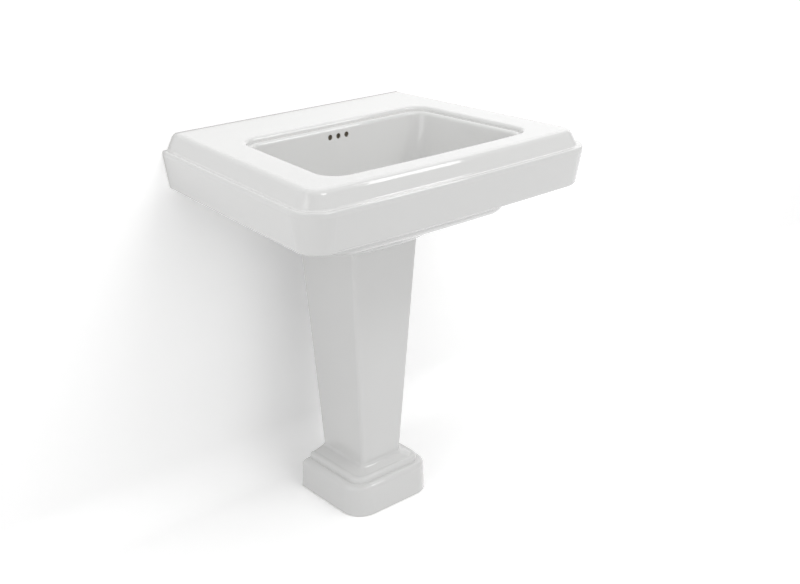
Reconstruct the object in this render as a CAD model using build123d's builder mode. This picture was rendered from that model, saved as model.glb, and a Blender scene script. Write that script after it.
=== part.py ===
from build123d import *
import math
import os

# A pedestal basin in glazed vitreous china: a wide basin hung on the wall, a tapered
# column that hides the trap, and the waste fittings that such a basin needs.
# Millimetres. +Z is up, +Y points at the wall, +X is to the right for someone at the
# basin. The origin is on the floor, straight below the waste outlet.

# Basin, outside
rim_height = 870.0
wall_y = 262.0
front_width = 770.0
back_width = 686.0
front_corner_y = -298.0
front_bow = 8.0
corner_radius = 60.0
bullnose_height = 33.0
bullnose_slope = 28.0
bullnose_radius = 15.0
bullnose_inset = 12.0
cove_radius = 5.0
bead_height = 11.0
bead_radius = 4.0
apron_height = 76.0
apron_draft = 9.0
apron_edge_radius = 9.0
china_wall = 13.0
deck_thickness = 16.0
back_wall = 16.0

# Basin, bowl
rim_front_width = 544.0
rim_back_width = 494.0
rim_front_y = -217.0
rim_back_y = 114.0
rim_bow = 5.0
rim_corner_radius = 44.0
rim_step = 9.0
rim_radius = 7.5
ledge_width = 13.0
ledge_radius = 8.0
bowl_depth = 160.0
bowl_side_slope = 9.5
bowl_front_slope = 6.0
bowl_back_slope = 3.0
bowl_floor_radius = 36.0
bowl_floor_corner = 62.0
bowl_floor_bow = 3.0
dish_radius = 48.0
dish_depth = 4.0

# Basin, underside
boss_radius = 38.0
boss_drop = 34.0
collar_width = 244.0
collar_front_y = -76.0
collar_back_y = 106.0
collar_bow = 20.0
collar_corner = 34.0
collar_height = 52.0
collar_edge_radius = 17.0
collar_opening_width = 152.0
collar_opening_front_y = -45.0
collar_opening_back_y = 92.0
collar_floor = 13.0

# Overflow
overflow_hole_diameter = 12.0
overflow_pitch = 22.5
overflow_count = 3
overflow_drop = 28.0
duct_width = 68.0
duct_gap = 12.0
duct_wall = 9.0
duct_floor_height = 10.0
duct_roof = 2.0

# Pedestal
foot_width = 234.0
foot_front_y = -90.0
foot_back_y = 123.0
foot_corner = 52.0
foot_back_corner = 8.0
foot_back_share = 0.4
plinth_height = 75.0
plinth_draft = 3.0
plinth_radius = 14.0
plinth_edge_radius = 2.0
step_inset = 20.0
step_height = 14.0
step_radius = 8.0
shoulder_inset = 30.0
shoulder_height = 9.0
column_base_width = 114.0
column_base_front_y = -39.0
column_base_back_y = 110.0
column_top_width = 184.0
column_top_front_y = -59.0
column_top_back_y = 137.0
column_corner = 9.0
column_wall = 13.0
column_cove = 9.0
return_width = 15.0
foot_wall = 16.0
lug_length = 36.0
lug_reach = 36.0
lug_height = 12.0
lug_y = 58.0
seat_pad_thickness = 3.0
seat_pad_length = 26.0
seat_pad_width = 10.0
seat_pad_front_y = -22.0
seat_pad_back_y = 76.0
seat_pad_corner = 1.5

# Waste
waste_hole_diameter = 46.0
waste_diameter = 41.0
waste_bore_diameter = 34.0
waste_length = 74.0
flange_diameter = 63.0
flange_thickness = 3.2
flange_recess_clearance = 1.5
flange_recess_depth = 2.5
seal_thickness = 1.5
seal_edge_gap = 0.5
mouth_diameter = 38.0
mouth_depth = 7.0
bottom_washer_thickness = 4.0
bottom_washer_diameter = 62.0
slip_washer_thickness = 1.6
slip_washer_diameter = 60.0
locknut_height = 12.0
locknut_across_flats = 56.0
flange_radius = 1.2
washer_bevel = 1.5
mouth_slope = 2.0
washer_clearance = 0.3
thread_clearance = 0.1
spoke_count = 3
spoke_width = 4.0
spoke_height = 5.0
spoke_drop = 34.0
spoke_angle = 30.0
ring_wall = 2.4
waste_slot_width = 16.0
waste_slot_height = 9.0
waste_slot_corner = 2.0

# Push plug
plug_travel = 9.0
plug_diameter = 58.0
plug_dome = 4.0
plug_edge = 2.4
plug_gap = 0.5
seal_clearance = 0.35
plug_seal_height = 3.6
plug_seal_width = 4.0
plug_lip = 1.2
plug_lip_reach = 2.4
stem_diameter = 8.0
stem_collar_diameter = 14.0
stem_collar_height = 4.0
stem_tip_length = 8.0
stem_stop_gap = 0.4
stem_bevel = 0.8
cartridge_diameter = 19.0
cartridge_bore_diameter = 15.0
cartridge_length = 34.0
cartridge_lip = 1.8
cartridge_lip_height = 2.0
cartridge_lid = 2.5
cartridge_spigot = 3.0
cartridge_floor = 3.0
slide_clearance = 0.35
joint_clearance = 0.1
spring_gap = 0.3
spring_diameter = 12.6
spring_bore_diameter = 9.4

# Trap
pipe_diameter = 32.0
pipe_wall = 1.5
pipe_overlap = 17.0
tail_collar_length = 12.0
outlet_drop = 51.0
trap_reach = 76.0
trap_diameter = 35.0
trap_wall = 2.2
socket_diameter = 42.0
socket_depth = 18.0
socket_clearance = 0.4
socket_cone = 6.0
trap_leg = 44.0
elbow_radius = 30.0
elbow_clearance = 8.5
slip_nut_height = 18.0
slip_nut_across_flats = 51.0
slip_nut_lip = 3.5
slip_washer_height = 4.0
nut_bevel = 1.6
nut_sides = 6
slip_lip_clearance = 0.4
cleanout_diameter = 26.0
cleanout_boss_diameter = 34.0
cleanout_boss_drop = 8.0
cleanout_length = 10.0
cleanout_washer_thickness = 2.0
cleanout_head_height = 7.0
cleanout_head_across_flats = 30.0

# Fixings
wall_bolt_spacing = 280.0
wall_bolt_drop = 70.0
wall_hole_diameter = 16.0
wall_sleeve_bore = 10.6
wall_sleeve_flange = 3.0
wall_sleeve_flange_diameter = 30.0
floor_screw_spacing = 158.0
floor_screw_diameter = 6.0
floor_hole_diameter = 9.0
floor_washer_thickness = 2.5
floor_washer_diameter = 18.0
screw_head_height = 4.2
screw_head_diameter = 12.0
screw_head_radius = 1.6
screw_slot_width = 1.6
screw_slot_depth = 1.8

# Reach of a cutting shape past a face, and of the shapes that are cut at the wall plane
margin = 1.0
overrun = 40.0
level_tolerance = 0.01

# Levels that follow from the sizes above
bullnose_z = rim_height - bullnose_height
bullnose_lean = bullnose_height * math.tan(math.radians(bullnose_slope))
bead_z = bullnose_z - bead_height
apron_z = bead_z - apron_height
apron_inset = apron_height * math.tan(math.radians(apron_draft))
wall_bolt_height = rim_height - wall_bolt_drop
deck_z = rim_height - deck_thickness
ledge_z = rim_height - rim_step
floor_z = ledge_z - bowl_depth
dish_z = floor_z - dish_depth
seat_z = dish_z - flange_recess_depth
boss_z = floor_z - china_wall - boss_drop
shell_z = floor_z - china_wall
collar_z = shell_z - collar_height
pad_z = collar_z - seat_pad_thickness
shoulder_z = plinth_height + step_height
column_z = shoulder_z + shoulder_height
flange_z = seat_z + seal_thickness
flange_top_z = flange_z + flange_thickness
waste_low_z = flange_top_z - waste_length
washer_z = boss_z - bottom_washer_thickness
slip_z = washer_z - slip_washer_thickness
locknut_z = slip_z - locknut_height
ring_z = flange_top_z - spoke_drop
cartridge_top_z = ring_z + cartridge_lip_height
cartridge_low_z = cartridge_top_z - cartridge_length
spigot_z = cartridge_top_z - cartridge_spigot
cap_z = flange_top_z + plug_gap
plug_lip_z = cap_z - plug_seal_height
hub_z = plug_lip_z - plug_lip
stem_stop_z = spigot_z - plug_travel - stem_stop_gap
stem_collar_z = stem_stop_z - stem_collar_height
outlet_height = collar_z - outlet_drop
elbow_z = outlet_height - elbow_radius
socket_top = elbow_z - elbow_clearance - slip_nut_lip - slip_washer_height
socket_floor_z = socket_top - socket_depth
bend_z = socket_top - trap_leg
bend_radius = trap_reach / 2
pipe_end_z = socket_top - pipe_overlap
slip_lip_z = socket_top + slip_washer_height
slip_nut_z = slip_lip_z + slip_nut_lip - slip_nut_height
cleanout_z = bend_z - bend_radius - trap_diameter / 2 - cleanout_boss_drop
side_slope = (front_width - back_width) / 2 / (wall_y - front_corner_y)


os.makedirs("parts", exist_ok=True)


def plan(half_front, half_back, y_front, y_back, bow, front_radius, back_radius=0.0):
    """Return a plan that narrows to the back, with a bowed front and rounded corners."""
    with BuildSketch() as outline:
        with BuildLine():
            ThreePointArc((-half_front, y_front), (0, y_front - bow), (half_front, y_front))
            Polyline(
                (half_front, y_front),
                (half_back, y_back),
                (-half_back, y_back),
                (-half_front, y_front),
            )
        make_face()
        fillet(outline.vertices().sort_by(Axis.Y)[:2], front_radius)
        if back_radius > 0:
            fillet(outline.vertices().sort_by(Axis.Y)[-2:], back_radius)
    return outline.sketch


def basin_plan(inset, y_back=wall_y + overrun):
    """Return the basin's outline, drawn in by inset, running on behind the wall plane."""
    y_front = front_corner_y + inset
    half_front = front_width / 2 - inset - side_slope * inset
    half_back = half_front - side_slope * (y_back - y_front)
    return plan(half_front, half_back, y_front, y_back, front_bow, corner_radius - inset)


def rim_plan(inset, depth=0.0):
    """Return the bowl's opening, drawn in by inset, at a depth below the ledge."""
    side = inset + depth * math.tan(math.radians(bowl_side_slope))
    front = inset + depth * math.tan(math.radians(bowl_front_slope))
    back = inset + depth * math.tan(math.radians(bowl_back_slope))
    share = depth / bowl_depth
    bow = rim_bow + share * (bowl_floor_bow - rim_bow)
    corner = rim_corner_radius + share * (bowl_floor_corner - rim_corner_radius) - inset
    return plan(
        rim_front_width / 2 - side,
        rim_back_width / 2 - side,
        rim_front_y + front,
        rim_back_y - back,
        bow,
        corner,
        corner,
    )


def collar_plan(inset):
    """Return the outline of the collar round the column's top, drawn in by inset."""
    half = collar_width / 2 - inset
    corner = collar_corner - inset
    y_front = collar_front_y + inset
    return plan(half, half, y_front, collar_back_y - inset, collar_bow, corner, corner)


def edges_at(part, height):
    """Return the edges of a part that lie flat at a height."""
    return part.edges().filter_by_position(
        Axis.Z, height - level_tolerance, height + level_tolerance
    )


def edges_within(part, height, half, y_front, y_back):
    """Return the edges at a height that lie within a rectangle."""
    chosen = ShapeList()
    for edge in edges_at(part, height):
        box = edge.bounding_box()
        in_width = box.min.X > -half and box.max.X < half
        in_depth = box.min.Y > y_front and box.max.Y < y_back
        if in_width and in_depth:
            chosen.append(edge)
    return chosen


def rim_edges(part, height, inset=0.0):
    """Return the edges at a height that lie within the bowl's opening, drawn in by inset."""
    reach = inset - margin
    y_front = rim_front_y - rim_bow + reach
    return edges_within(part, height, rim_front_width / 2 - reach, y_front, rim_back_y - reach)


def outline_edges(part, height, inset):
    """Return the edges at a height that follow the basin's front and sides, drawn in by
    more than inset. The two short edges at the back end, left out, come last in depth."""
    half = front_width / 2 - side_slope * corner_radius - inset
    y_front = front_corner_y - front_bow + inset
    chosen = edges_within(part, height, half, y_front, wall_y + overrun + margin)
    return chosen.sort_by(Axis.Y)[:-2]


# The basin's body: a drafted apron, the bead along its top, and the cushioned rim, which
# rises from a small cove behind the bead.
with BuildPart() as body:
    with BuildSketch(Plane.XY.offset(apron_z)):
        add(basin_plan(apron_inset))
    with BuildSketch(Plane.XY.offset(bead_z)):
        add(basin_plan(0))
    loft()
    fillet(edges_at(body, apron_z), apron_edge_radius)
    with BuildSketch(Plane.XY.offset(bead_z)):
        add(basin_plan(0))
    extrude(amount=bead_height)
    fillet(edges_at(body, bullnose_z).sort_by(Axis.Y)[:-1], bead_radius)
    with BuildSketch(Plane.XY.offset(bullnose_z)):
        add(basin_plan(bullnose_inset))
    with BuildSketch(Plane.XY.offset(rim_height)):
        add(basin_plan(bullnose_inset + bullnose_lean))
    loft()
    fillet(outline_edges(body, bullnose_z, (bead_radius + bullnose_inset) / 2), cove_radius)
    fillet(edges_at(body, rim_height).sort_by(Axis.Y)[:-1], bullnose_radius)

# The space under the deck, inside the apron and clear of the wall plate.
with BuildPart() as under_space:
    with BuildSketch(Plane.XY.offset(apron_z - margin)):
        add(basin_plan(apron_inset + china_wall, wall_y - back_wall))
    extrude(amount=deck_z - apron_z + margin)

# The bowl's outer shell.
with BuildPart() as bowl_shell:
    with BuildSketch(Plane.XY.offset(shell_z)):
        add(rim_plan(ledge_width - china_wall, bowl_depth))
    with BuildSketch(Plane.XY.offset(deck_z + margin)):
        add(rim_plan(ledge_width - china_wall))
    loft()
    fillet(edges_at(bowl_shell, shell_z), bowl_floor_radius)

# The bowl's inside.
with BuildPart() as bowl_space:
    with BuildSketch(Plane.XY.offset(floor_z)):
        add(rim_plan(ledge_width, bowl_depth))
    with BuildSketch(Plane.XY.offset(ledge_z)):
        add(rim_plan(ledge_width))
    loft()
    fillet(edges_at(bowl_space, floor_z), bowl_floor_radius)
    with BuildSketch(Plane.XY.offset(ledge_z)):
        add(rim_plan(0))
    extrude(amount=rim_step + margin)

# The collar that hides the top of the column.
with BuildPart() as collar:
    with BuildSketch(Plane.XY.offset(collar_z)):
        add(collar_plan(0))
    extrude(amount=collar_height + bowl_floor_radius)
    fillet(edges_at(collar, collar_z), collar_edge_radius)

with BuildPart() as collar_space:
    with BuildSketch(Plane.XY.offset(collar_z + collar_floor)):
        add(collar_plan(china_wall))
    extrude(amount=collar_height - collar_floor)
    with BuildSketch(Plane.XY.offset(collar_z - margin)):
        with Locations((0, (collar_opening_front_y + collar_opening_back_y) / 2)):
            Rectangle(collar_opening_width, collar_opening_back_y - collar_opening_front_y)
        fillet(vertices(), collar_corner - china_wall)
    extrude(amount=collar_floor + 2 * margin)

# The overflow duct runs down behind the bowl and forward to the waste hole.
duct_top_y = rim_back_y - ledge_width + china_wall
duct_lean = bowl_depth * math.tan(math.radians(bowl_back_slope))
duct_top_z = deck_z - duct_roof
duct_low_y = duct_top_y - duct_lean
duct_floor_z = shell_z - duct_floor_height
duct_profile = [
    (duct_top_y, duct_top_z),
    (duct_top_y + duct_gap, duct_top_z),
    (duct_low_y + duct_gap, duct_floor_z),
    (0, duct_floor_z),
    (0, shell_z),
    (duct_low_y, shell_z),
]
housing_profile = [
    (duct_top_y - china_wall / 2, deck_z + margin),
    (duct_top_y + duct_gap + duct_wall, deck_z + margin),
    (duct_low_y + duct_gap + duct_wall, duct_floor_z - duct_wall),
    (0, duct_floor_z - duct_wall),
    (0, shell_z + china_wall / 2),
    (duct_low_y - bowl_floor_radius, shell_z + china_wall / 2),
]

with BuildPart() as duct_housing:
    with BuildSketch(Plane.YZ):
        with BuildLine():
            Polyline(*housing_profile, close=True)
        make_face()
    extrude(amount=duct_width / 2 + duct_wall, both=True)

with BuildPart() as duct_space:
    with BuildSketch(Plane.YZ):
        with BuildLine():
            Polyline(*duct_profile, close=True)
        make_face()
    extrude(amount=duct_width / 2, both=True)

overflow_z = rim_height - overflow_drop
overflow_y = rim_back_y - ledge_width

# The whole casting. Its pieces are cut from it below.
with BuildPart() as casting:
    add(body.part)
    add(under_space.part, mode=Mode.SUBTRACT)
    add(bowl_shell.part)
    add(collar.part)
    add(collar_space.part, mode=Mode.SUBTRACT)
    add(duct_housing.part)
    with Locations((0, 0, boss_z)):
        Cylinder(
            boss_radius,
            floor_z - boss_z,
            align=(Align.CENTER, Align.CENTER, Align.MIN),
        )
    add(bowl_space.part, mode=Mode.SUBTRACT)
    add(duct_space.part, mode=Mode.SUBTRACT)
    split(bisect_by=Plane.XZ.offset(-wall_y), keep=Keep.TOP)
    # Dished floor, recess for the waste flange and the waste hole.
    with Locations((0, 0, dish_z)):
        Cone(
            flange_diameter / 2 + flange_recess_clearance,
            dish_radius,
            dish_depth,
            align=(Align.CENTER, Align.CENTER, Align.MIN),
            mode=Mode.SUBTRACT,
        )
    with Locations((0, 0, seat_z)):
        Cylinder(
            flange_diameter / 2 + flange_recess_clearance,
            flange_recess_depth + dish_depth / 2,
            align=(Align.CENTER, Align.CENTER, Align.MIN),
            mode=Mode.SUBTRACT,
        )
    with Locations((0, 0, floor_z)):
        Hole(waste_hole_diameter / 2)
    # Overflow holes in a row through the bowl's back wall.
    with BuildSketch(Plane.XZ.offset(-overflow_y - duct_gap / 2)):
        with Locations((0, overflow_z)):
            with GridLocations(overflow_pitch, 1, overflow_count, 1):
                Circle(overflow_hole_diameter / 2)
    extrude(amount=2 * china_wall, mode=Mode.SUBTRACT)
    # Holes for the wall bolts.
    with BuildSketch(Plane.XZ.offset(-wall_y)):
        with Locations((0, wall_bolt_height)):
            with GridLocations(wall_bolt_spacing, 1, 2, 1):
                Circle(wall_hole_diameter / 2)
    extrude(amount=back_wall, mode=Mode.SUBTRACT)
    fillet(rim_edges(casting, rim_height), rim_radius)
    fillet(rim_edges(casting, ledge_z, ledge_width / 2), ledge_radius)

# The zone under the deck and inside the apron, where the bowl hangs.
with BuildPart() as under_zone:
    with BuildSketch(Plane.XY.offset(collar_z - margin)):
        add(basin_plan(apron_inset + 2 * china_wall, wall_y - back_wall - china_wall))
    extrude(amount=deck_z - collar_z + margin)

with BuildPart() as basin_deck:
    add(casting.part)
    add(under_zone.part, mode=Mode.SUBTRACT)
    split(bisect_by=Plane.XY.offset(bead_z), keep=Keep.TOP)
basin_deck.part.label = "basin_deck"
export_step(basin_deck.part, "parts/basin_deck.step")

with BuildPart() as basin_apron:
    add(casting.part)
    add(under_zone.part, mode=Mode.SUBTRACT)
    split(bisect_by=Plane.XY.offset(bead_z), keep=Keep.BOTTOM)
basin_apron.part.label = "basin_apron"
export_step(basin_apron.part, "parts/basin_apron.step")

with BuildPart() as basin_collar:
    add(collar.part)
    add(collar_space.part, mode=Mode.SUBTRACT)
    add(duct_housing.part, mode=Mode.SUBTRACT)
    split(bisect_by=Plane.XY.offset(shell_z), keep=Keep.BOTTOM)
basin_collar.part.label = "basin_collar"
export_step(basin_collar.part, "parts/basin_collar.step")

with BuildPart() as basin_bowl:
    add(casting.part)
    add(under_zone.part, mode=Mode.INTERSECT)
    add(basin_collar.part, mode=Mode.SUBTRACT)
basin_bowl.part.label = "basin_bowl"
export_step(basin_bowl.part, "parts/basin_bowl.step")


# Pedestal

def foot_plan(inset):
    """Return the foot's outline, drawn in by inset."""
    corner = foot_corner - inset
    with BuildSketch() as outline:
        with BuildLine():
            Polyline(
                (foot_width / 2 - inset, foot_front_y + inset),
                (foot_width / 2 - inset, foot_back_y - inset * foot_back_share),
                (inset - foot_width / 2, foot_back_y - inset * foot_back_share),
                (inset - foot_width / 2, foot_front_y + inset),
                close=True,
            )
        make_face()
        fillet(outline.vertices().sort_by(Axis.Y)[:2], corner)
        fillet(outline.vertices().sort_by(Axis.Y)[-2:], foot_back_corner)
    return outline.sketch


def column_size(height):
    """Return the column's half width, front and back at a height."""
    share = (height - column_z) / (pad_z - column_z)
    half = (column_base_width + share * (column_top_width - column_base_width)) / 2
    front = column_base_front_y + share * (column_top_front_y - column_base_front_y)
    back = column_base_back_y + share * (column_top_back_y - column_base_back_y)
    return half, front, back


def column_plan(height, inset=0.0):
    """Return the column's outline at a height, drawn in by inset."""
    half, front, back = column_size(height)
    with BuildSketch() as outline:
        with Locations((0, (front + back) / 2)):
            Rectangle(2 * (half - inset), back - front - 2 * inset)
        if inset == 0:
            fillet(outline.vertices(), column_corner)
    return outline.sketch


def box_plan(half, front, back):
    """Return a plain rectangle between two depths."""
    with BuildSketch() as outline:
        with Locations((0, (front + back) / 2)):
            Rectangle(2 * half, back - front)
    return outline.sketch


# The foot's two tiers.
with BuildPart() as plinth:
    with BuildSketch():
        add(foot_plan(0))
    with BuildSketch(Plane.XY.offset(plinth_height)):
        add(foot_plan(plinth_draft))
    loft()
    fillet(edges_at(plinth, plinth_height), plinth_radius)
    fillet(edges_at(plinth, 0), plinth_edge_radius)

with BuildPart() as step:
    with BuildSketch(Plane.XY.offset(plinth_height - margin)):
        add(foot_plan(step_inset))
    extrude(amount=step_height + margin)
    fillet(edges_at(step, shoulder_z), step_radius)

with BuildPart() as shaft:
    with BuildSketch(Plane.XY.offset(column_z)):
        add(column_plan(column_z))
    with BuildSketch(Plane.XY.offset(pad_z)):
        add(column_plan(pad_z))
    loft()

with BuildPart() as foot_shoulder:
    with BuildSketch(Plane.XY.offset(shoulder_z - margin)):
        add(foot_plan(shoulder_inset))
    with BuildSketch(Plane.XY.offset(column_z)):
        add(column_plan(column_z))
    loft()

# The hollow inside, and the open back between two narrow returns.
half_low, _, back_low = column_size(column_z)
half_high, _, back_high = column_size(pad_z)
with BuildPart() as inside:
    with BuildSketch(Plane.XY.offset(column_z)):
        add(column_plan(column_z, column_wall))
    with BuildSketch(Plane.XY.offset(pad_z)):
        add(column_plan(pad_z, column_wall))
    loft()
    extrude(faces().sort_by(Axis.Z)[-1], amount=margin)
    foot_inner_half = foot_width / 2 - foot_wall
    foot_inner_front = foot_front_y + foot_wall
    foot_inner_back = foot_back_y - foot_wall
    with BuildSketch(Plane.XY.offset(-margin)):
        add(box_plan(foot_inner_half, foot_inner_front, foot_inner_back))
        fillet(vertices().sort_by(Axis.Y)[:2], foot_corner - foot_wall)
    extrude(amount=plinth_height - foot_wall + margin)
    with BuildSketch(Plane.XY.offset(plinth_height - foot_wall)):
        add(box_plan(foot_inner_half, foot_inner_front, foot_inner_back))
    with BuildSketch(Plane.XY.offset(column_z)):
        add(column_plan(column_z, column_wall))
    loft()

with BuildPart() as back_slot:
    with BuildSketch(Plane.XY.offset(-margin)):
        add(box_plan(half_low - return_width, foot_back_y - 2 * foot_wall, foot_back_y + overrun))
    extrude(amount=column_z + margin)
    with BuildSketch(Plane.XY.offset(column_z)):
        add(box_plan(half_low - return_width, back_low - 2 * column_wall, back_low + overrun))
    with BuildSketch(Plane.XY.offset(pad_z + margin)):
        add(
            box_plan(
                half_high - column_wall - return_width,
                back_high - 2 * column_wall,
                back_high + overrun,
            )
        )
    loft()

lug_x = foot_inner_half - lug_reach / 2
with BuildPart() as stand:
    add(plinth.part)
    add(step.part)
    add(foot_shoulder.part)
    add(shaft.part)
    fillet(edges_at(stand, column_z), column_cove)
    add(inside.part, mode=Mode.SUBTRACT)
    add(back_slot.part, mode=Mode.SUBTRACT)
    with Locations((0, lug_y, lug_height / 2)):
        with GridLocations(2 * lug_x, 1, 2, 1):
            Box(lug_reach + 2 * margin, lug_length, lug_height)
    with Locations((0, lug_y, lug_height)):
        with GridLocations(floor_screw_spacing, 1, 2, 1):
            Hole(floor_hole_diameter / 2, depth=lug_height)

with BuildPart() as pedestal_foot:
    add(stand.part)
    split(bisect_by=Plane.XY.offset(plinth_height), keep=Keep.BOTTOM)
pedestal_foot.part.label = "pedestal_foot"
export_step(pedestal_foot.part, "parts/pedestal_foot.step")

with BuildPart() as pedestal_column:
    add(stand.part)
    split(bisect_by=Plane.XY.offset(plinth_height), keep=Keep.TOP)
pedestal_column.part.label = "pedestal_column"
export_step(pedestal_column.part, "parts/pedestal_column.step")


# Rubber pads between the top of the column and the collar.
with BuildPart() as seat_pads:
    with BuildSketch(Plane.XY.offset(pad_z)):
        for pad_y in (seat_pad_front_y, seat_pad_back_y):
            with Locations((0, pad_y)):
                with GridLocations(2 * half_high - column_wall, 1, 2, 1):
                    Rectangle(seat_pad_width, seat_pad_length)
        fillet(vertices(), seat_pad_corner)
    extrude(amount=seat_pad_thickness)
seat_pads.part.label = "seat_pads"
export_step(seat_pads.part, "parts/seat_pads.step")


# Waste

def ring_part(low, height, outer_diameter, inner_diameter, centre_y=0.0):
    """Return a flat ring that stands on a level."""
    with BuildPart() as ring:
        with BuildSketch(Plane.XY.offset(low)):
            with Locations((0, centre_y)):
                Circle(outer_diameter / 2)
                Circle(inner_diameter / 2, mode=Mode.SUBTRACT)
        extrude(amount=height)
    return ring.part


def turned_blank(low, height, across_flats, centre_y=0.0):
    """Return the turned disc whose bevels take off a hexagon's corners."""
    with BuildPart() as blank:
        with BuildSketch(Plane.XY.offset(low)):
            with Locations((0, centre_y)):
                Circle(across_flats / 2 / math.cos(math.pi / nut_sides))
        extrude(amount=height)
        chamfer(blank.edges().filter_by(GeomType.CIRCLE), nut_bevel)
    return blank.part


def hex_part(low, height, across_flats, bore_diameter, centre_y=0.0):
    """Return a bevelled hexagon, with a bore if it has a diameter."""
    blank = turned_blank(low, height, across_flats, centre_y)
    with BuildPart() as nut:
        with BuildSketch(Plane.XY.offset(low)):
            with Locations((0, centre_y)):
                RegularPolygon(across_flats / 2, nut_sides, major_radius=False)
                if bore_diameter > 0:
                    Circle(bore_diameter / 2, mode=Mode.SUBTRACT)
        extrude(amount=height)
        add(blank, mode=Mode.INTERSECT)
    return nut.part


# The flanged waste with its mouth, overflow slots and the ring that holds the cartridge.
with BuildPart() as waste_body:
    with BuildSketch(Plane.XZ):
        with BuildLine():
            Polyline(
                (waste_bore_diameter / 2, waste_low_z),
                (waste_diameter / 2, waste_low_z),
                (waste_diameter / 2, flange_z),
                (flange_diameter / 2, flange_z),
                (flange_diameter / 2, flange_top_z),
                (mouth_diameter / 2, flange_top_z),
                (mouth_diameter / 2, flange_top_z - mouth_depth),
                (waste_bore_diameter / 2, flange_top_z - mouth_depth - mouth_slope),
                close=True,
            )
        make_face()
    revolve(axis=Axis.Z)
    fillet(edges_at(waste_body, flange_top_z).sort_by(SortBy.LENGTH)[-1], flange_radius)
    with BuildSketch(Plane.XZ.offset(-waste_diameter)):
        with Locations((0, (duct_floor_z + shell_z) / 2)):
            RectangleRounded(waste_slot_width, waste_slot_height, waste_slot_corner)
    extrude(amount=2 * waste_diameter, mode=Mode.SUBTRACT)
    spoke_inner = cartridge_diameter / 2 + ring_wall / 2
    spoke_outer = waste_bore_diameter / 2 + (waste_diameter - waste_bore_diameter) / 4
    with BuildSketch(Plane.XY.offset(ring_z - spoke_height)):
        Circle(cartridge_diameter / 2 + ring_wall)
        with PolarLocations((spoke_inner + spoke_outer) / 2, spoke_count, start_angle=spoke_angle):
            Rectangle(spoke_outer - spoke_inner, spoke_width)
        Circle(cartridge_diameter / 2 + joint_clearance, mode=Mode.SUBTRACT)
    extrude(amount=spoke_height)
waste_body.part.label = "waste_body"
export_step(waste_body.part, "parts/waste_body.step")

# The soft seal under the flange, and the washers and nut that pull it down.
with BuildPart() as waste_top_seal:
    add(
        ring_part(
            seat_z,
            seal_thickness,
            flange_diameter - 2 * seal_edge_gap,
            waste_diameter + 2 * washer_clearance,
        )
    )
waste_top_seal.part.label = "waste_top_seal"
export_step(waste_top_seal.part, "parts/waste_top_seal.step")

with BuildPart() as waste_bottom_washer:
    add(
        ring_part(
            washer_z,
            bottom_washer_thickness,
            bottom_washer_diameter,
            waste_diameter + 2 * washer_clearance,
        )
    )
    fillet(edges_at(waste_bottom_washer, washer_z).sort_by(SortBy.LENGTH)[-1], washer_bevel)
waste_bottom_washer.part.label = "waste_bottom_washer"
export_step(waste_bottom_washer.part, "parts/waste_bottom_washer.step")

with BuildPart() as waste_slip_washer:
    add(
        ring_part(
            slip_z,
            slip_washer_thickness,
            slip_washer_diameter,
            waste_diameter + 2 * washer_clearance,
        )
    )
waste_slip_washer.part.label = "waste_slip_washer"
export_step(waste_slip_washer.part, "parts/waste_slip_washer.step")

with BuildPart() as waste_locknut:
    add(hex_part(locknut_z, locknut_height, locknut_across_flats, waste_diameter + 2 * thread_clearance))
waste_locknut.part.label = "waste_locknut"
export_step(waste_locknut.part, "parts/waste_locknut.step")


# Push plug: the cap, its seal and the stem that clicks in the cartridge.

def cap_height(radius):
    """Return the height of the plug's dome at a radius."""
    ball = ((plug_diameter / 2) ** 2 + plug_dome**2) / (2 * plug_dome)
    return cap_z + plug_edge + plug_dome - ball + math.sqrt(ball**2 - radius**2)


hub_radius = mouth_diameter / 2 - seal_clearance - plug_seal_width
with BuildPart() as plug_cap:
    with BuildSketch(Plane.XZ):
        with BuildLine():
            Polyline(
                (0, cap_height(0)),
                (0, cap_z),
                (stem_diameter / 2 + joint_clearance, cap_z),
                (stem_diameter / 2 + joint_clearance, hub_z),
                (hub_radius + plug_lip_reach, hub_z),
                (hub_radius + plug_lip_reach, plug_lip_z),
                (hub_radius, plug_lip_z),
                (hub_radius, cap_z),
                (plug_diameter / 2, cap_z),
                (plug_diameter / 2, cap_z + plug_edge),
            )
            ThreePointArc(
                (plug_diameter / 2, cap_z + plug_edge),
                (plug_diameter / 4, cap_height(plug_diameter / 4)),
                (0, cap_height(0)),
            )
        make_face()
    revolve(axis=Axis.Z)
    fillet(edges_at(plug_cap, cap_z + plug_edge), plug_edge / 2)
plug_cap.part.label = "plug_cap"
export_step(plug_cap.part, "parts/plug_cap.step")

with BuildPart() as plug_seal:
    add(
        ring_part(
            plug_lip_z,
            plug_seal_height,
            mouth_diameter - 2 * seal_clearance,
            2 * hub_radius + 2 * joint_clearance,
        )
    )
    fillet(edges_at(plug_seal, plug_lip_z).sort_by(SortBy.LENGTH)[-1], plug_lip)
plug_seal.part.label = "plug_seal"
export_step(plug_seal.part, "parts/plug_seal.step")

with BuildPart() as plug_stem:
    with BuildSketch(Plane.XY.offset(stem_collar_z - stem_tip_length)):
        Circle(stem_diameter / 2)
    extrude(amount=cap_z - stem_collar_z + stem_tip_length)
    with BuildSketch(Plane.XY.offset(stem_collar_z)):
        Circle(stem_collar_diameter / 2)
    extrude(amount=stem_collar_height)
    chamfer(edges_at(plug_stem, stem_collar_z - stem_tip_length), stem_bevel)
plug_stem.part.label = "plug_stem"
export_step(plug_stem.part, "parts/plug_stem.step")

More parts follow.
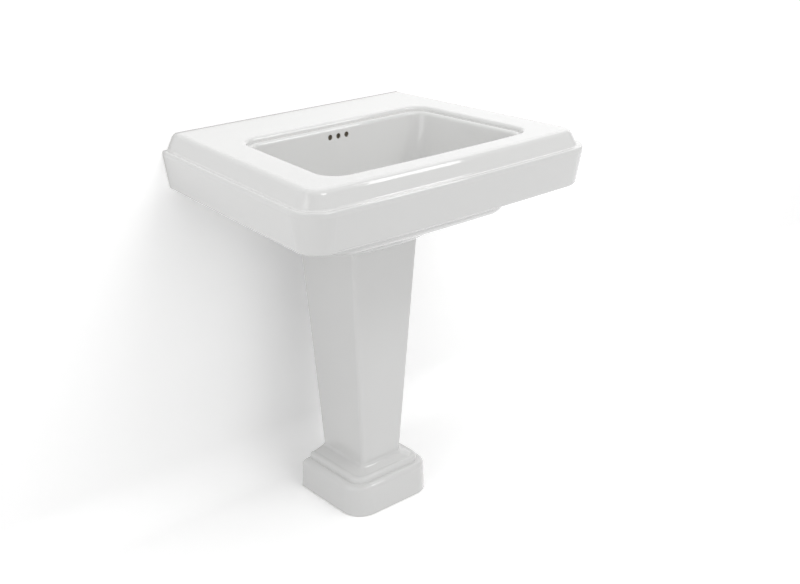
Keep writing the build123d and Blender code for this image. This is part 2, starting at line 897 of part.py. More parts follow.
with BuildPart() as cartridge_body:
    with BuildSketch(Plane.XZ):
        with BuildLine():
            Polyline(
                (0, cartridge_low_z),
                (cartridge_diameter / 2, cartridge_low_z),
                (cartridge_diameter / 2, ring_z),
                (cartridge_diameter / 2 + cartridge_lip, ring_z),
                (cartridge_diameter / 2 + cartridge_lip, cartridge_top_z),
                (cartridge_bore_diameter / 2, cartridge_top_z),
                (cartridge_bore_diameter / 2, cartridge_low_z + cartridge_floor),
                (0, cartridge_low_z + cartridge_floor),
                close=True,
            )
        make_face()
    revolve(axis=Axis.Z)
cartridge_body.part.label = "cartridge_body"
export_step(cartridge_body.part, "parts/cartridge_body.step")

with BuildPart() as cartridge_cap:
    with BuildSketch(Plane.XZ):
        with BuildLine():
            Polyline(
                (stem_diameter / 2 + slide_clearance, spigot_z),
                (cartridge_bore_diameter / 2 - joint_clearance, spigot_z),
                (cartridge_bore_diameter / 2 - joint_clearance, cartridge_top_z),
                (cartridge_diameter / 2 + cartridge_lip, cartridge_top_z),
                (cartridge_diameter / 2 + cartridge_lip, cartridge_top_z + cartridge_lid),
                (stem_diameter / 2 + slide_clearance, cartridge_top_z + cartridge_lid),
                close=True,
            )
        make_face()
    revolve(axis=Axis.Z)
cartridge_cap.part.label = "cartridge_cap"
export_step(cartridge_cap.part, "parts/cartridge_cap.step")

# The click spring stands between the cartridge's floor and the stem's collar.
spring_low_z = cartridge_low_z + cartridge_floor
with BuildPart() as click_spring:
    add(
        ring_part(
            spring_low_z,
            stem_collar_z - spring_gap - spring_low_z,
            spring_diameter,
            spring_bore_diameter,
        )
    )
click_spring.part.label = "click_spring"
export_step(click_spring.part, "parts/click_spring.step")

# Trap

# The tailpiece hangs from the waste, in a collar that fills its bore.
with BuildPart() as tailpiece:
    with BuildSketch(Plane.XY.offset(pipe_end_z)):
        Circle(pipe_diameter / 2)
    extrude(amount=waste_low_z - pipe_end_z)
    with BuildSketch(Plane.XY.offset(waste_low_z)):
        Circle(waste_bore_diameter / 2 - joint_clearance)
    extrude(amount=tail_collar_length)
    with BuildSketch(Plane.XY.offset(pipe_end_z)):
        Circle(pipe_diameter / 2 - pipe_wall)
    extrude(amount=waste_low_z + tail_collar_length - pipe_end_z, mode=Mode.SUBTRACT)
tailpiece.part.label = "tailpiece"
export_step(tailpiece.part, "parts/tailpiece.step")


def bend_part(diameter, top):
    """Return a solid bar along the trap's two legs and the bend that joins them."""
    with BuildPart() as bar:
        with BuildLine(Plane.YZ):
            Line((0, top), (0, bend_z))
            ThreePointArc((0, bend_z), (bend_radius, bend_z - bend_radius), (trap_reach, bend_z))
            Line((trap_reach, bend_z), (trap_reach, top))
        with BuildSketch(Plane.XY.offset(top)):
            Circle(diameter / 2)
        sweep()
    return bar.part


def arm_part(diameter):
    """Return a solid bar along the trap's outlet arm, up and back to the wall."""
    elbow_y = trap_reach + elbow_radius
    with BuildPart() as bar:
        with BuildLine(Plane.YZ):
            Line((trap_reach, pipe_end_z), (trap_reach, elbow_z))
            TangentArc((trap_reach, elbow_z), (elbow_y, outlet_height), tangent=(0, 1))
            Line((elbow_y, outlet_height), (wall_y, outlet_height))
        with BuildSketch(Plane.XY.offset(pipe_end_z)):
            with Locations((0, trap_reach)):
                Circle(diameter / 2)
        sweep()
    return bar.part


bend_outside = bend_part(trap_diameter, socket_floor_z)
bend_inside = bend_part(trap_diameter - 2 * trap_wall, socket_floor_z)
with BuildPart() as trap_j_bend:
    add(bend_outside)
    with Locations((0, 0, socket_floor_z - socket_cone), (0, trap_reach, socket_floor_z - socket_cone)):
        Cone(
            trap_diameter / 2,
            socket_diameter / 2,
            socket_cone,
            align=(Align.CENTER, Align.CENTER, Align.MIN),
        )
    with Locations((0, 0, socket_floor_z), (0, trap_reach, socket_floor_z)):
        Cylinder(socket_diameter / 2, socket_depth, align=(Align.CENTER, Align.CENTER, Align.MIN))
    with Locations((0, bend_radius, cleanout_z)):
        Cylinder(
            cleanout_boss_diameter / 2,
            bend_z - bend_radius - cleanout_z,
            align=(Align.CENTER, Align.CENTER, Align.MIN),
        )
    add(bend_inside, mode=Mode.SUBTRACT)
    with Locations((0, 0, socket_top), (0, trap_reach, socket_top)):
        Hole(pipe_diameter / 2 + socket_clearance, depth=socket_depth)
    with Locations((0, bend_radius, bend_z - bend_radius)):
        Hole(cleanout_diameter / 2, depth=bend_z - bend_radius - cleanout_z)
trap_j_bend.part.label = "trap_j_bend"
export_step(trap_j_bend.part, "parts/trap_j_bend.step")

with BuildPart() as trap_arm:
    add(arm_part(pipe_diameter))
    add(arm_part(pipe_diameter - 2 * pipe_wall), mode=Mode.SUBTRACT)
trap_arm.part.label = "trap_arm"
export_step(trap_arm.part, "parts/trap_arm.step")


def slip_nut_part(centre_y):
    """Return a slip nut: a bevelled hexagon round a socket, with a lip over its washer."""
    hexagon = hex_part(slip_nut_z, slip_nut_height, slip_nut_across_flats, 0, centre_y)
    with BuildPart() as nut:
        add(hexagon)
        with Locations((0, centre_y, slip_lip_z)):
            Hole(
                socket_diameter / 2 + thread_clearance,
                depth=slip_nut_height - slip_nut_lip,
            )
        with Locations((0, centre_y, slip_lip_z + slip_nut_lip)):
            Hole(pipe_diameter / 2 + slip_lip_clearance, depth=slip_nut_lip)
    return nut.part


# One slip joint on each leg of the bend: a nut and a washer.
for leg, leg_y in (("inlet", 0.0), ("outlet", trap_reach)):
    with BuildPart() as slip_nut:
        add(slip_nut_part(leg_y))
    slip_nut.part.label = f"trap_{leg}_nut"
    export_step(slip_nut.part, f"parts/trap_{leg}_nut.step")
    with BuildPart() as slip_washer:
        add(
            ring_part(
                socket_top,
                slip_washer_height,
                socket_diameter,
                pipe_diameter + 2 * joint_clearance,
                leg_y,
            )
        )
    slip_washer.part.label = f"trap_{leg}_washer"
    export_step(slip_washer.part, f"parts/trap_{leg}_washer.step")

# The cleanout plug under the bend, and its washer.
cleanout_washer_z = cleanout_z - cleanout_washer_thickness
cleanout_head = hex_part(
    cleanout_washer_z - cleanout_head_height,
    cleanout_head_height,
    cleanout_head_across_flats,
    0,
    bend_radius,
)
with BuildPart() as cleanout_plug:
    add(cleanout_head)
    with BuildSketch(Plane.XY.offset(cleanout_washer_z)):
        with Locations((0, bend_radius)):
            Circle(cleanout_diameter / 2 - thread_clearance)
    extrude(amount=cleanout_washer_thickness + cleanout_length)
cleanout_plug.part.label = "cleanout_plug"
export_step(cleanout_plug.part, "parts/cleanout_plug.step")

with BuildPart() as cleanout_washer:
    add(
        ring_part(
            cleanout_washer_z,
            cleanout_washer_thickness,
            cleanout_boss_diameter,
            cleanout_diameter + 2 * joint_clearance,
            bend_radius,
        )
    )
cleanout_washer.part.label = "cleanout_washer"
export_step(cleanout_washer.part, "parts/cleanout_washer.step")


# Fixings

# Flanged sleeves line the basin's wall holes, so that a bolt never bears on the china.
with BuildPart() as wall_sleeves:
    with BuildSketch(Plane.XZ.offset(-wall_y)):
        with Locations((0, wall_bolt_height)):
            with GridLocations(wall_bolt_spacing, 1, 2, 1):
                Circle(wall_hole_diameter / 2 - joint_clearance)
    extrude(amount=back_wall)
    with BuildSketch(Plane.XZ.offset(back_wall - wall_y)):
        with Locations((0, wall_bolt_height)):
            with GridLocations(wall_bolt_spacing, 1, 2, 1):
                Circle(wall_sleeve_flange_diameter / 2)
    extrude(amount=wall_sleeve_flange)
    with BuildSketch(Plane.XZ.offset(-wall_y)):
        with Locations((0, wall_bolt_height)):
            with GridLocations(wall_bolt_spacing, 1, 2, 1):
                Circle(wall_sleeve_bore / 2)
    extrude(amount=back_wall + wall_sleeve_flange, mode=Mode.SUBTRACT)
wall_sleeves.part.label = "wall_sleeves"
export_step(wall_sleeves.part, "parts/wall_sleeves.step")

# Screws hold the foot's lugs to the floor, each on a washer.
screw_head_z = lug_height + floor_washer_thickness
with BuildPart() as floor_screws:
    with BuildSketch():
        with Locations((0, lug_y)):
            with GridLocations(floor_screw_spacing, 1, 2, 1):
                Circle(floor_screw_diameter / 2)
    extrude(amount=screw_head_z)
    with BuildSketch(Plane.XY.offset(screw_head_z)):
        with Locations((0, lug_y)):
            with GridLocations(floor_screw_spacing, 1, 2, 1):
                Circle(screw_head_diameter / 2)
    extrude(amount=screw_head_height)
    fillet(edges_at(floor_screws, screw_head_z + screw_head_height), screw_head_radius)
    with BuildSketch(Plane.XY.offset(screw_head_z + screw_head_height - screw_slot_depth)):
        with Locations((0, lug_y)):
            with GridLocations(floor_screw_spacing, 1, 2, 1):
                Rectangle(screw_head_diameter, screw_slot_width)
    extrude(amount=screw_slot_depth, mode=Mode.SUBTRACT)
floor_screws.part.label = "floor_screws"
export_step(floor_screws.part, "parts/floor_screws.step")

with BuildPart() as floor_screw_washers:
    with BuildSketch(Plane.XY.offset(lug_height)):
        with Locations((0, lug_y)):
            with GridLocations(floor_screw_spacing, 1, 2, 1):
                Circle(floor_washer_diameter / 2)
                Circle(floor_screw_diameter / 2 + washer_clearance, mode=Mode.SUBTRACT)
    extrude(amount=floor_washer_thickness)
floor_screw_washers.part.label = "floor_screw_washers"
export_step(floor_screw_washers.part, "parts/floor_screw_washers.step")
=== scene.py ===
"""Dresses a pedestal basin: glazed china, chromed waste and trap, in a plain pale studio."""

import logging
import math
from dataclasses import dataclass
from enum import Enum

import bmesh
import bpy
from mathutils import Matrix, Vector


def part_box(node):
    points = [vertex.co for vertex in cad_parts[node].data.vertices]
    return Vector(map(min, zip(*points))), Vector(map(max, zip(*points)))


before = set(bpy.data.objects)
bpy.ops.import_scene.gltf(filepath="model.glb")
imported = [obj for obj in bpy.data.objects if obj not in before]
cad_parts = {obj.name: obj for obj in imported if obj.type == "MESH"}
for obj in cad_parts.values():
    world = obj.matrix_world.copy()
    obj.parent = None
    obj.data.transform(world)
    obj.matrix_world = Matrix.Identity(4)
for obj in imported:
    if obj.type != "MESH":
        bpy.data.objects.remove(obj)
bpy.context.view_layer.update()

log = logging.getLogger("pedestal_basin")

MM = 0.001
IMAGE_WIDTH = 800.0
CAMERA_FOCAL_PIXELS = 1169.6
CAMERA_PLACE = (-1.5417, -1.8579, 1.4808)
CAMERA_YAW = 41.3
CAMERA_TILT = 22.0
CAMERA_REACH = 100.0
SENSOR_WIDTH = 36.0
RIGHT_ANGLE = 90.0
PAPER_BOUNCE = 0.80
PAPER_SEEN = 1.50
TOUCH = 12.0 * MM
SKY_LIGHT = 0.60
SKY_SEEN = 1.0
COAT_ROUGHNESS = 0.03
BARE_ROUGHNESS = 0.85
HOLE_REACH = 7.0 * MM
HOLE_DEPTH = 30.0 * MM


class Test(Enum):
    """How a coordinate is held against a limit."""

    ABOVE = "GREATER_THAN"
    BELOW = "LESS_THAN"


class Join(Enum):
    """How two masks are joined."""

    BOTH = "MULTIPLY"
    EITHER = "MAXIMUM"


# Helpers for materials

def new_node(
    tree: bpy.types.NodeTree,
    kind: str,
    place: tuple[float, float],
    **inputs: float,
) -> bpy.types.Node:
    """Add a node to a tree and set its inputs.

    Args:
        tree: The tree that gets the node.
        kind: The node's Blender type.
        place: Where the node stands in the editor.
        inputs: Values for inputs, by name with spaces as underscores.

    Returns:
        The new node.
    """
    node = tree.nodes.new(kind)
    node.location = place
    for name, value in inputs.items():
        node.inputs[name.replace("_", " ")].default_value = value
    return node


def new_group(name: str, inputs: dict[str, float], outputs: dict[str, str]) -> bpy.types.NodeTree:
    """Start a shader node group with named sockets.

    Args:
        name: The group's name.
        inputs: Default value of each number that goes in.
        outputs: Socket type of each result.

    Returns:
        The group's tree, with its input and output nodes in place.
    """
    tree = bpy.data.node_groups.new(name, "ShaderNodeTree")
    for label, value in inputs.items():
        socket = tree.interface.new_socket(label, in_out="INPUT", socket_type="NodeSocketFloat")
        socket.default_value = value
    for label, kind in outputs.items():
        tree.interface.new_socket(label, in_out="OUTPUT", socket_type=kind)
    tree.nodes.new("NodeGroupInput").location = (-900, 0)
    tree.nodes.new("NodeGroupOutput").location = (700, 0)
    return tree


def ends_of(tree: bpy.types.NodeTree) -> tuple[bpy.types.Node, bpy.types.Node]:
    """Return a group's input node and output node."""
    return tree.nodes["Group Input"], tree.nodes["Group Output"]


def build_grain_group() -> bpy.types.NodeTree:
    """Make the group that gives every finish its uneven tone and surface.

    Returns:
        A group with a broad mask, a fine mask and a height.
    """
    tree = new_group(
        "surface_grain",
        {"Broad": 20.0, "Fine": 400.0, "Fine Share": 0.5},
        {"Broad Mask": "NodeSocketFloat", "Fine Mask": "NodeSocketFloat", "Height": "NodeSocketFloat"},
    )
    enter, leave = ends_of(tree)
    place = new_node(tree, "ShaderNodeTexCoord", (-900, -300))
    broad = new_node(tree, "ShaderNodeTexNoise", (-500, 200), Detail=2.0, Roughness=0.5)
    fine = new_node(tree, "ShaderNodeTexNoise", (-500, -200), Detail=3.0, Roughness=0.6)
    blend = new_node(tree, "ShaderNodeMix", (100, 0))
    links = tree.links
    for noise, scale in ((broad, "Broad"), (fine, "Fine")):
        links.new(place.outputs["Object"], noise.inputs["Vector"])
        links.new(enter.outputs[scale], noise.inputs["Scale"])
    links.new(enter.outputs["Fine Share"], blend.inputs[0])
    links.new(broad.outputs["Fac"], blend.inputs[2])
    links.new(fine.outputs["Fac"], blend.inputs[3])
    links.new(broad.outputs["Fac"], leave.inputs["Broad Mask"])
    links.new(fine.outputs["Fac"], leave.inputs["Fine Mask"])
    links.new(blend.outputs[0], leave.inputs["Height"])
    return tree


GRAIN = build_grain_group()


def mix_colour(tree: bpy.types.NodeTree, place: tuple[float, float]) -> bpy.types.Node:
    """Add a node that mixes two colours.

    Args:
        tree: The tree that gets the node.
        place: Where the node stands in the editor.

    Returns:
        The new node, with its share in input 0, its colours in 6 and 7 and its result in output 2.
    """
    node = new_node(tree, "ShaderNodeMix", place)
    node.data_type = "RGBA"
    return node


def math_node(
    tree: bpy.types.NodeTree,
    place: tuple[float, float],
    operation: str,
    first: bpy.types.NodeSocket,
    second: bpy.types.NodeSocket | float,
) -> bpy.types.NodeSocket:
    """Add a Math node that takes a value and another value or a number.

    Args:
        tree: The tree that gets the node.
        place: Where the node stands in the editor.
        operation: The node's operation.
        first: The value that goes in first.
        second: The value or the number that goes in second.

    Returns:
        The result's socket.
    """
    node = new_node(tree, "ShaderNodeMath", place)
    node.operation = operation
    tree.links.new(first, node.inputs[0])
    if isinstance(second, float):
        node.inputs[1].default_value = second
    else:
        tree.links.new(second, node.inputs[1])
    return node.outputs[0]


def colour_value(colour: tuple[float, float, float]) -> tuple[float, float, float, float]:
    """Return a colour with full cover."""
    return (*colour, 1.0)


@dataclass(frozen=True)
class Finish:
    """A surface finish that varies a little in tone, gloss and height.

    Args:
        name: The material's name.
        tone: Its main colour.
        shade: The colour it drifts to.
        metallic: How metallic it is.
        gloss: Roughness where it is smoothest and where it is dullest.
        broad: Scale of the slow changes, per metre.
        fine: Scale of the grain, per metre.
        fine_share: How much of the height the grain makes.
        height: Depth of the grain, in metres.
        coat: Weight of the clear top layer.
    """

    name: str
    tone: tuple[float, float, float]
    shade: tuple[float, float, float]
    metallic: float = 0.0
    gloss: tuple[float, float] = (0.3, 0.4)
    broad: float = 30.0
    fine: float = 600.0
    fine_share: float = 0.5
    height: float = 0.00002
    coat: float = 0.0

    def start(self) -> tuple[bpy.types.Material, bpy.types.Node, bpy.types.Node]:
        """Make the material with its grain, mixed colour and roughness.

        Returns:
            The material, its shader and its colour mix.
        """
        material = bpy.data.materials.new(self.name)
        material.use_nodes = True
        tree = material.node_tree
        shader = tree.nodes["Principled BSDF"]
        grain = new_node(tree, "ShaderNodeGroup", (-900, 0))
        grain.node_tree = GRAIN
        grain.inputs["Broad"].default_value = self.broad
        grain.inputs["Fine"].default_value = self.fine
        grain.inputs["Fine Share"].default_value = self.fine_share
        tint = mix_colour(tree, (-500, 200))
        tint.inputs[6].default_value = colour_value(self.tone)
        tint.inputs[7].default_value = colour_value(self.shade)
        rough = new_node(tree, "ShaderNodeMapRange", (-500, -100))
        rough.inputs["To Min"].default_value = self.gloss[0]
        rough.inputs["To Max"].default_value = self.gloss[1]
        bump = new_node(tree, "ShaderNodeBump", (-300, -300), Distance=self.height, Strength=1.0)
        shader.inputs["Metallic"].default_value = self.metallic
        shader.inputs["Coat Weight"].default_value = self.coat
        shader.inputs["Coat Roughness"].default_value = COAT_ROUGHNESS
        links = tree.links
        links.new(grain.outputs["Broad Mask"], tint.inputs[0])
        links.new(grain.outputs["Fine Mask"], rough.inputs["Value"])
        links.new(grain.outputs["Height"], bump.inputs["Height"])
        links.new(tint.outputs[2], shader.inputs["Base Color"])
        links.new(rough.outputs["Result"], shader.inputs["Roughness"])
        links.new(bump.outputs["Normal"], shader.inputs["Normal"])
        return material, shader, tint

    def material(self) -> bpy.types.Material:
        """Return the finished material."""
        return self.start()[0]


@dataclass(frozen=True)
class Glaze(Finish):
    """White glaze over china, with bare clay where the casting touches wall or floor, and a darker clay
    colour inside the overflow holes that paints their shade.

    Args:
        clay: Colour of the bare clay.
        hole_clay_and_shade: Bare clay colour, darkened to paint the shade inside the overflow holes.
        wall_y: Depth past which the back is bare.
        floor_z: Height under which the foot is bare.
        hole_z: Height of the overflow holes, or none.
        hole_face_y: Depth of the bowl's back face at the holes.
        hole_span: Half the width of the row of holes.
    """

    clay: tuple[float, float, float] = (0.50, 0.44, 0.34)
    hole_clay_and_shade: tuple[float, float, float] = (0.28, 0.25, 0.20)
    wall_y: float = 1.0
    floor_z: float = -1.0
    hole_z: float = -1.0
    hole_face_y: float = 1.0
    hole_span: float = 0.04

    def material(self) -> bpy.types.Material:
        """Make the glaze with its bare places and the painted shade inside the overflow holes.

        Returns:
            The finished material.
        """
        material, shader, tint = self.start()
        tree = material.node_tree
        links = tree.links
        place = new_node(tree, "ShaderNodeTexCoord", (-1500, 500))
        split = new_node(tree, "ShaderNodeSeparateXYZ", (-1300, 500))
        links.new(place.outputs["Object"], split.inputs[0])
        deep, high = split.outputs["Y"], split.outputs["Z"]
        raw = self.join(tree, Join.EITHER, (
            self.compare(tree, deep, Test.ABOVE, self.wall_y, 700),
            self.compare(tree, high, Test.BELOW, self.floor_z, 550),
        ))
        # The overflow holes and the duct behind them: bare clay, darkened there as painted shade.
        holes = self.join(tree, Join.BOTH, (
            self.compare(tree, high, Test.ABOVE, self.hole_z - HOLE_REACH, 400),
            self.compare(tree, high, Test.BELOW, self.hole_z + HOLE_REACH, 250),
            self.compare(tree, deep, Test.ABOVE, self.hole_face_y, 100),
            self.compare(tree, deep, Test.BELOW, self.hole_face_y + HOLE_DEPTH, -50),
            self.compare(tree, split.outputs["X"], Test.BELOW, self.hole_span, -200),
            self.compare(tree, split.outputs["X"], Test.ABOVE, -self.hole_span, -350),
        ))
        bare = self.join(tree, Join.EITHER, (raw, holes))
        dress = mix_colour(tree, (-250, 300))
        dress.inputs[7].default_value = colour_value(self.clay)
        # Painted shade: the holes take a darker clay colour that stands in for the shade inside them.
        hole_shade_mix = mix_colour(tree, (-50, 300))
        hole_shade_mix.inputs[7].default_value = colour_value(self.hole_clay_and_shade)
        dull = new_node(tree, "ShaderNodeMix", (-250, 0))
        dull.inputs[3].default_value = BARE_ROUGHNESS
        rough_source = shader.inputs["Roughness"].links[0].from_socket
        links.new(raw, dress.inputs[0])
        links.new(tint.outputs[2], dress.inputs[6])
        links.new(holes, hole_shade_mix.inputs[0])
        links.new(dress.outputs[2], hole_shade_mix.inputs[6])
        links.new(hole_shade_mix.outputs[2], shader.inputs["Base Color"])
        links.new(bare, dull.inputs[0])
        links.new(rough_source, dull.inputs[2])
        links.new(dull.outputs[0], shader.inputs["Roughness"])
        glazed = new_node(tree, "ShaderNodeMath", (-250, -200))
        glazed.operation = "SUBTRACT"
        glazed.inputs[0].default_value = 1.0
        links.new(bare, glazed.inputs[1])
        links.new(glazed.outputs[0], shader.inputs["Coat Weight"])
        return material

    @staticmethod
    def compare(
        tree: bpy.types.NodeTree,
        value: bpy.types.NodeSocket,
        test: Test,
        limit: float,
        row: float,
    ) -> bpy.types.NodeSocket:
        """Add a test of a coordinate against a limit.

        Args:
            tree: The material's tree.
            value: The coordinate.
            test: Which side of the limit counts.
            limit: The limit, in metres.
            row: The node's height in the editor.

        Returns:
            A mask that is 1 where the test holds.
        """
        return math_node(tree, (-1100, row), test.value, value, limit)

    @staticmethod
    def join(
        tree: bpy.types.NodeTree,
        join: Join,
        masks: tuple[bpy.types.NodeSocket, ...],
    ) -> bpy.types.NodeSocket:
        """Join masks into one.

        Args:
            tree: The material's tree.
            join: How they are joined.
            masks: The masks, two or more.

        Returns:
            The joined mask.
        """
        result = masks[0]
        for mask in masks[1:]:
            result = math_node(tree, (-700, 600), join.value, result, mask)
        return result


# Sub-assemblies

def dress_node(node: str, material: bpy.types.Material) -> None:
    """Give a CAD node its finish.

    Args:
        node: The node's name.
        material: The finish.
    """
    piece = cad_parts[node]
    piece.data.materials.clear()
    piece.data.materials.append(material)
    log.info("dressed %s with %s", node, material.name)


@dataclass(frozen=True)
class DressedSet:
    """Nodes of the CAD model that share a finish.

    Args:
        finish: The finish.
        nodes: The nodes' names.
    """

    finish: Finish
    nodes: tuple[str, ...]

    def build(self) -> None:
        """Make the finish and dress the nodes."""
        material = self.finish.material()
        for node in self.nodes:
            dress_node(node, material)


@dataclass(frozen=True)
class ChinaWare(DressedSet):
    """The two castings, the basin and the pedestal, in one glaze."""


@dataclass(frozen=True)
class Fittings:
    """The waste, plug, trap and fixings.

    Args:
        sets: The nodes of each finish.
    """

    sets: tuple[DressedSet, ...]

    def build(self) -> None:
        """Dress every set."""
        for dressed in self.sets:
            dressed.build()


@dataclass(frozen=True)
class Lamp:
    """A soft oblong lamp.

    Args:
        name: The lamp's name.
        place: Where its middle hangs.
        aim: The point that it faces.
        size: Its width and its height.
        power: Its power, in watts.
    """

    name: str
    place: tuple[float, float, float]
    aim: tuple[float, float, float]
    size: tuple[float, float]
    power: float


@dataclass
class Studio:
    """A pale floor and wall, soft lamps and the camera.

    Args:
        wall_y: Depth of the wall's face.
        reach: Half the floor's width, its depth and the wall's height.
        cove: Radius where the wall meets the floor.
        cove_steps: Flats in the cove.
        lamps: The lamps.
    """

    wall_y: float
    lamps: tuple[Lamp, ...]
    reach: float = 9.0
    cove: float = 0.10
    cove_steps: int = 16

    def build(self) -> None:
        """Make the room, its light and the camera."""
        self.build_room()
        self.build_world()
        self.build_lamps()
        self.build_camera()

    def build_room(self) -> None:
        """Make the floor and the wall in one curved sheet."""
        shape = bmesh.new()
        start = shape.verts.new((0.0, -self.reach, 0.0))
        near = shape.verts.new((0.0, self.wall_y - self.cove, 0.0))
        shape.edges.new((start, near))
        bmesh.ops.spin(
            shape,
            geom=[near],
            cent=(0.0, self.wall_y - self.cove, self.cove),
            axis=(1.0, 0.0, 0.0),
            angle=math.radians(RIGHT_ANGLE),
            steps=self.cove_steps,
            use_merge=False,
        )
        shape.verts.ensure_lookup_table()
        top = max(shape.verts, key=lambda vert: (vert.co.y, vert.co.z))
        tall = bmesh.ops.extrude_vert_indiv(shape, verts=[top])["verts"]
        bmesh.ops.translate(shape, verts=tall, vec=(0.0, 0.0, self.reach))
        bmesh.ops.translate(shape, verts=shape.verts[:], vec=(-self.reach, 0.0, 0.0))
        wide = bmesh.ops.extrude_edge_only(shape, edges=shape.edges[:])["geom"]
        moved = [item for item in wide if isinstance(item, bmesh.types.BMVert)]
        bmesh.ops.translate(shape, verts=moved, vec=(2.0 * self.reach, 0.0, 0.0))
        bmesh.ops.recalc_face_normals(shape, faces=shape.faces[:])
        widest = max(shape.faces, key=lambda face: face.calc_area())
        if widest.normal.z < widest.normal.y:
            bmesh.ops.reverse_faces(shape, faces=shape.faces[:])
        mesh = bpy.data.meshes.new("studio_sheet")
        shape.to_mesh(mesh)
        shape.free()
        for face in mesh.polygons:
            face.use_smooth = True
        sheet = bpy.data.objects.new("studio_sheet", mesh)
        bpy.context.scene.collection.objects.link(sheet)
        sheet.data.materials.append(self.paper_material())
        log.info("made the studio sheet")

    def paper_material(self) -> bpy.types.Material:
        """Make matt paper that shows as pure white and vanishes from behind.

        The wall also lets through light that starts within a touch of it, so the basin's flat
        back stays lit.

        Returns:
            The paper's material.
        """
        material = bpy.data.materials.new("studio_paper")
        material.use_nodes = True
        tree = material.node_tree
        tree.nodes.remove(tree.nodes["Principled BSDF"])
        paper = new_node(tree, "ShaderNodeBsdfDiffuse", (-300, 0))
        clear = new_node(tree, "ShaderNodeBsdfTransparent", (-300, -200))
        light = new_node(tree, "ShaderNodeLightPath", (-1100, 0))
        sides = new_node(tree, "ShaderNodeNewGeometry", (-500, 400))
        either = Join.EITHER.value
        camera_ray, glossy_ray = light.outputs["Is Camera Ray"], light.outputs["Is Glossy Ray"]
        seen = math_node(tree, (-800, 0), either, camera_ray, glossy_ray)
        tone = mix_colour(tree, (-550, 0))
        tone.inputs[6].default_value = colour_value((PAPER_BOUNCE,) * 3)
        tone.inputs[7].default_value = colour_value((PAPER_SEEN,) * 3)
        links = tree.links
        spot = new_node(tree, "ShaderNodeSeparateXYZ", (-300, 600))
        links.new(sides.outputs["Position"], spot.inputs[0])
        raised = math_node(tree, (-100, 600), Test.ABOVE.value, spot.outputs["Z"], self.cove)
        close = math_node(tree, (-100, 450), Test.BELOW.value, light.outputs["Ray Length"], TOUCH)
        open_wall = math_node(tree, (100, 500), Join.BOTH.value, raised, close)
        hidden = math_node(tree, (250, 400), either, sides.outputs["Backfacing"], open_wall)
        choose = new_node(tree, "ShaderNodeMixShader", (400, 0))
        links.new(seen, tone.inputs[0])
        links.new(tone.outputs[2], paper.inputs["Color"])
        links.new(hidden, choose.inputs[0])
        links.new(paper.outputs[0], choose.inputs[1])
        links.new(clear.outputs[0], choose.inputs[2])
        links.new(choose.outputs[0], tree.nodes["Material Output"].inputs["Surface"])
        return material

    def build_world(self) -> None:
        """Make an even pale sky, white where it is seen."""
        world = bpy.data.worlds.new("studio_sky")
        bpy.context.scene.world = world
        world.use_nodes = True
        tree = world.node_tree
        glow = tree.nodes["Background"]
        glow.inputs["Color"].default_value = (1.0, 1.0, 1.0, 1.0)
        light = new_node(tree, "ShaderNodeLightPath", (-800, 0))
        power = new_node(tree, "ShaderNodeMix", (-300, 0))
        power.inputs[2].default_value = SKY_LIGHT
        power.inputs[3].default_value = SKY_SEEN
        tree.links.new(light.outputs["Is Camera Ray"], power.inputs[0])
        tree.links.new(power.outputs[0], glow.inputs["Strength"])

    def build_lamps(self) -> None:
        """Hang the soft lamps."""
        for lamp in self.lamps:
            light = bpy.data.lights.new(lamp.name, "AREA")
            light.shape = "RECTANGLE"
            light.size, light.size_y = lamp.size
            light.energy = lamp.power
            holder = bpy.data.objects.new(lamp.name, light)
            holder.location = lamp.place
            turn = (Vector(lamp.aim) - Vector(lamp.place)).to_track_quat("-Z", "Y")
            holder.rotation_euler = turn.to_euler()
            bpy.context.scene.collection.objects.link(holder)

    def build_camera(self) -> None:
        """Stand the camera where the photograph was taken."""
        lens = bpy.data.cameras.new("camera")
        lens.sensor_width = SENSOR_WIDTH
        lens.lens = CAMERA_FOCAL_PIXELS * lens.sensor_width / IMAGE_WIDTH
        lens.clip_end = CAMERA_REACH
        camera = bpy.data.objects.new("camera", lens)
        camera.location = CAMERA_PLACE
        camera.rotation_euler = (math.radians(RIGHT_ANGLE - CAMERA_TILT), 0.0, math.radians(-CAMERA_YAW))
        bpy.context.scene.collection.objects.link(camera)
        bpy.context.scene.camera = camera
        bpy.context.scene.view_settings.view_transform = "Standard"


# The object's finishes, with painted shade inside the overflow holes, and the studio's lamps

LAMPS = (
    Lamp("key_lamp", (1.48, -1.15, 2.6), (1.48, 0.0, 0.7), (0.62, 1.2), 8.0),
    Lamp("front_lamp", (0.4, -2.1, 3.1), (0.0, 0.0, 0.6), (1.2, 0.9), 10.0),
    Lamp("left_lamp", (-2.6, -0.5, 1.5), (0.0, 0.0, 0.6), (1.8, 1.6), 8.5),
    Lamp("top_lamp", (0.2, -0.9, 3.0), (0.0, 0.0, 0.6), (2.4, 1.8), 3.6),
)

CHINA_GLAZE = Glaze(
    name="white_glaze",
    tone=(0.875, 0.875, 0.868),
    shade=(0.855, 0.855, 0.845),
    gloss=(0.06, 0.09),
    broad=4.0,
    fine=45.0,
    fine_share=0.25,
    height=0.00012,
    coat=1.0,
    wall_y=0.2618,
    floor_z=0.0004,
    hole_z=0.842,
    hole_face_y=0.1015,
)

CHINA_WARE = ChinaWare(
    CHINA_GLAZE,
    (
        "basin_deck", "basin_apron", "basin_bowl",
        "basin_collar", "pedestal_column", "pedestal_foot",
    ),
)

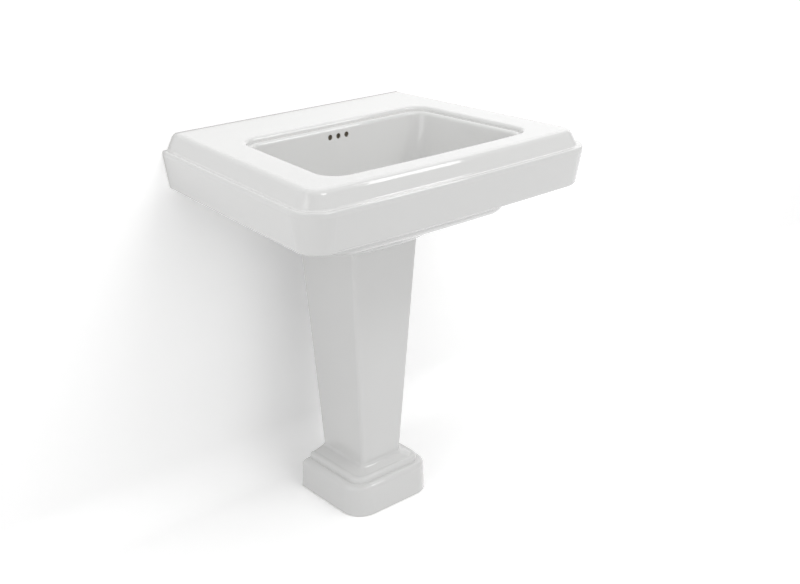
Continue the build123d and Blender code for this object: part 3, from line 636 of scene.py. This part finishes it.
FITTINGS = Fittings((
    DressedSet(
        Finish(
            "polished_chrome", (0.76, 0.765, 0.775), (0.70, 0.705, 0.715),
            metallic=1.0, gloss=(0.05, 0.12), broad=25.0, fine=900.0,
            fine_share=0.7, height=0.000004,
        ),
        ("waste_body", "plug_cap", "tailpiece", "trap_j_bend", "trap_arm"),
    ),
    DressedSet(
        Finish(
            "satin_chrome", (0.66, 0.665, 0.67), (0.58, 0.585, 0.59),
            metallic=1.0, gloss=(0.22, 0.34), broad=40.0, fine=1500.0,
            fine_share=0.8, height=0.000006,
        ),
        ("trap_inlet_nut", "trap_outlet_nut", "cleanout_plug"),
    ),
    DressedSet(
        Finish(
            "turned_brass", (0.62, 0.44, 0.19), (0.50, 0.34, 0.14),
            metallic=1.0, gloss=(0.22, 0.38), broad=40.0, fine=1200.0,
            fine_share=0.7, height=0.000008,
        ),
        ("waste_locknut", "plug_stem"),
    ),
    DressedSet(
        Finish(
            "black_rubber", (0.022, 0.022, 0.023), (0.04, 0.04, 0.04),
            metallic=0.0, gloss=(0.62, 0.82), broad=60.0, fine=2200.0,
            fine_share=0.8, height=0.00002,
        ),
        (
            "seat_pads", "waste_bottom_washer", "plug_seal",
            "trap_inlet_washer", "trap_outlet_washer", "cleanout_washer",
        ),
    ),
    DressedSet(
        Finish(
            "pale_seal", (0.55, 0.55, 0.53), (0.48, 0.48, 0.46),
            metallic=0.0, gloss=(0.4, 0.55), broad=60.0, fine=1800.0,
            fine_share=0.6, height=0.00001,
        ),
        ("waste_top_seal",),
    ),
    DressedSet(
        Finish(
            "red_fibre", (0.30, 0.07, 0.04), (0.20, 0.045, 0.03),
            metallic=0.0, gloss=(0.6, 0.85), broad=90.0, fine=2600.0,
            fine_share=0.8, height=0.00003,
        ),
        ("waste_slip_washer",),
    ),
    DressedSet(
        Finish(
            "white_nylon", (0.74, 0.74, 0.71), (0.68, 0.68, 0.65),
            metallic=0.0, gloss=(0.35, 0.5), broad=40.0, fine=1500.0,
            fine_share=0.6, height=0.00001,
        ),
        ("wall_sleeves", "floor_screw_washers", "cartridge_body", "cartridge_cap"),
    ),
    DressedSet(
        Finish(
            "spring_wire", (0.42, 0.42, 0.43), (0.33, 0.33, 0.34),
            metallic=1.0, gloss=(0.25, 0.4), broad=60.0, fine=1500.0,
            fine_share=0.7, height=0.000005,
        ),
        ("click_spring",),
    ),
    DressedSet(
        Finish(
            "zinc_plate", (0.55, 0.56, 0.58), (0.46, 0.47, 0.48),
            metallic=1.0, gloss=(0.28, 0.42), broad=50.0, fine=1600.0,
            fine_share=0.7, height=0.000006,
        ),
        ("floor_screws",),
    ),
))


def main() -> None:
    """Build the studio and dress the basin."""
    logging.basicConfig(level=logging.INFO)
    Studio(wall_y=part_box("basin_deck")[1].y, lamps=LAMPS).build()
    CHINA_WARE.build()
    FITTINGS.build()


if __name__ == "__main__":
    main()
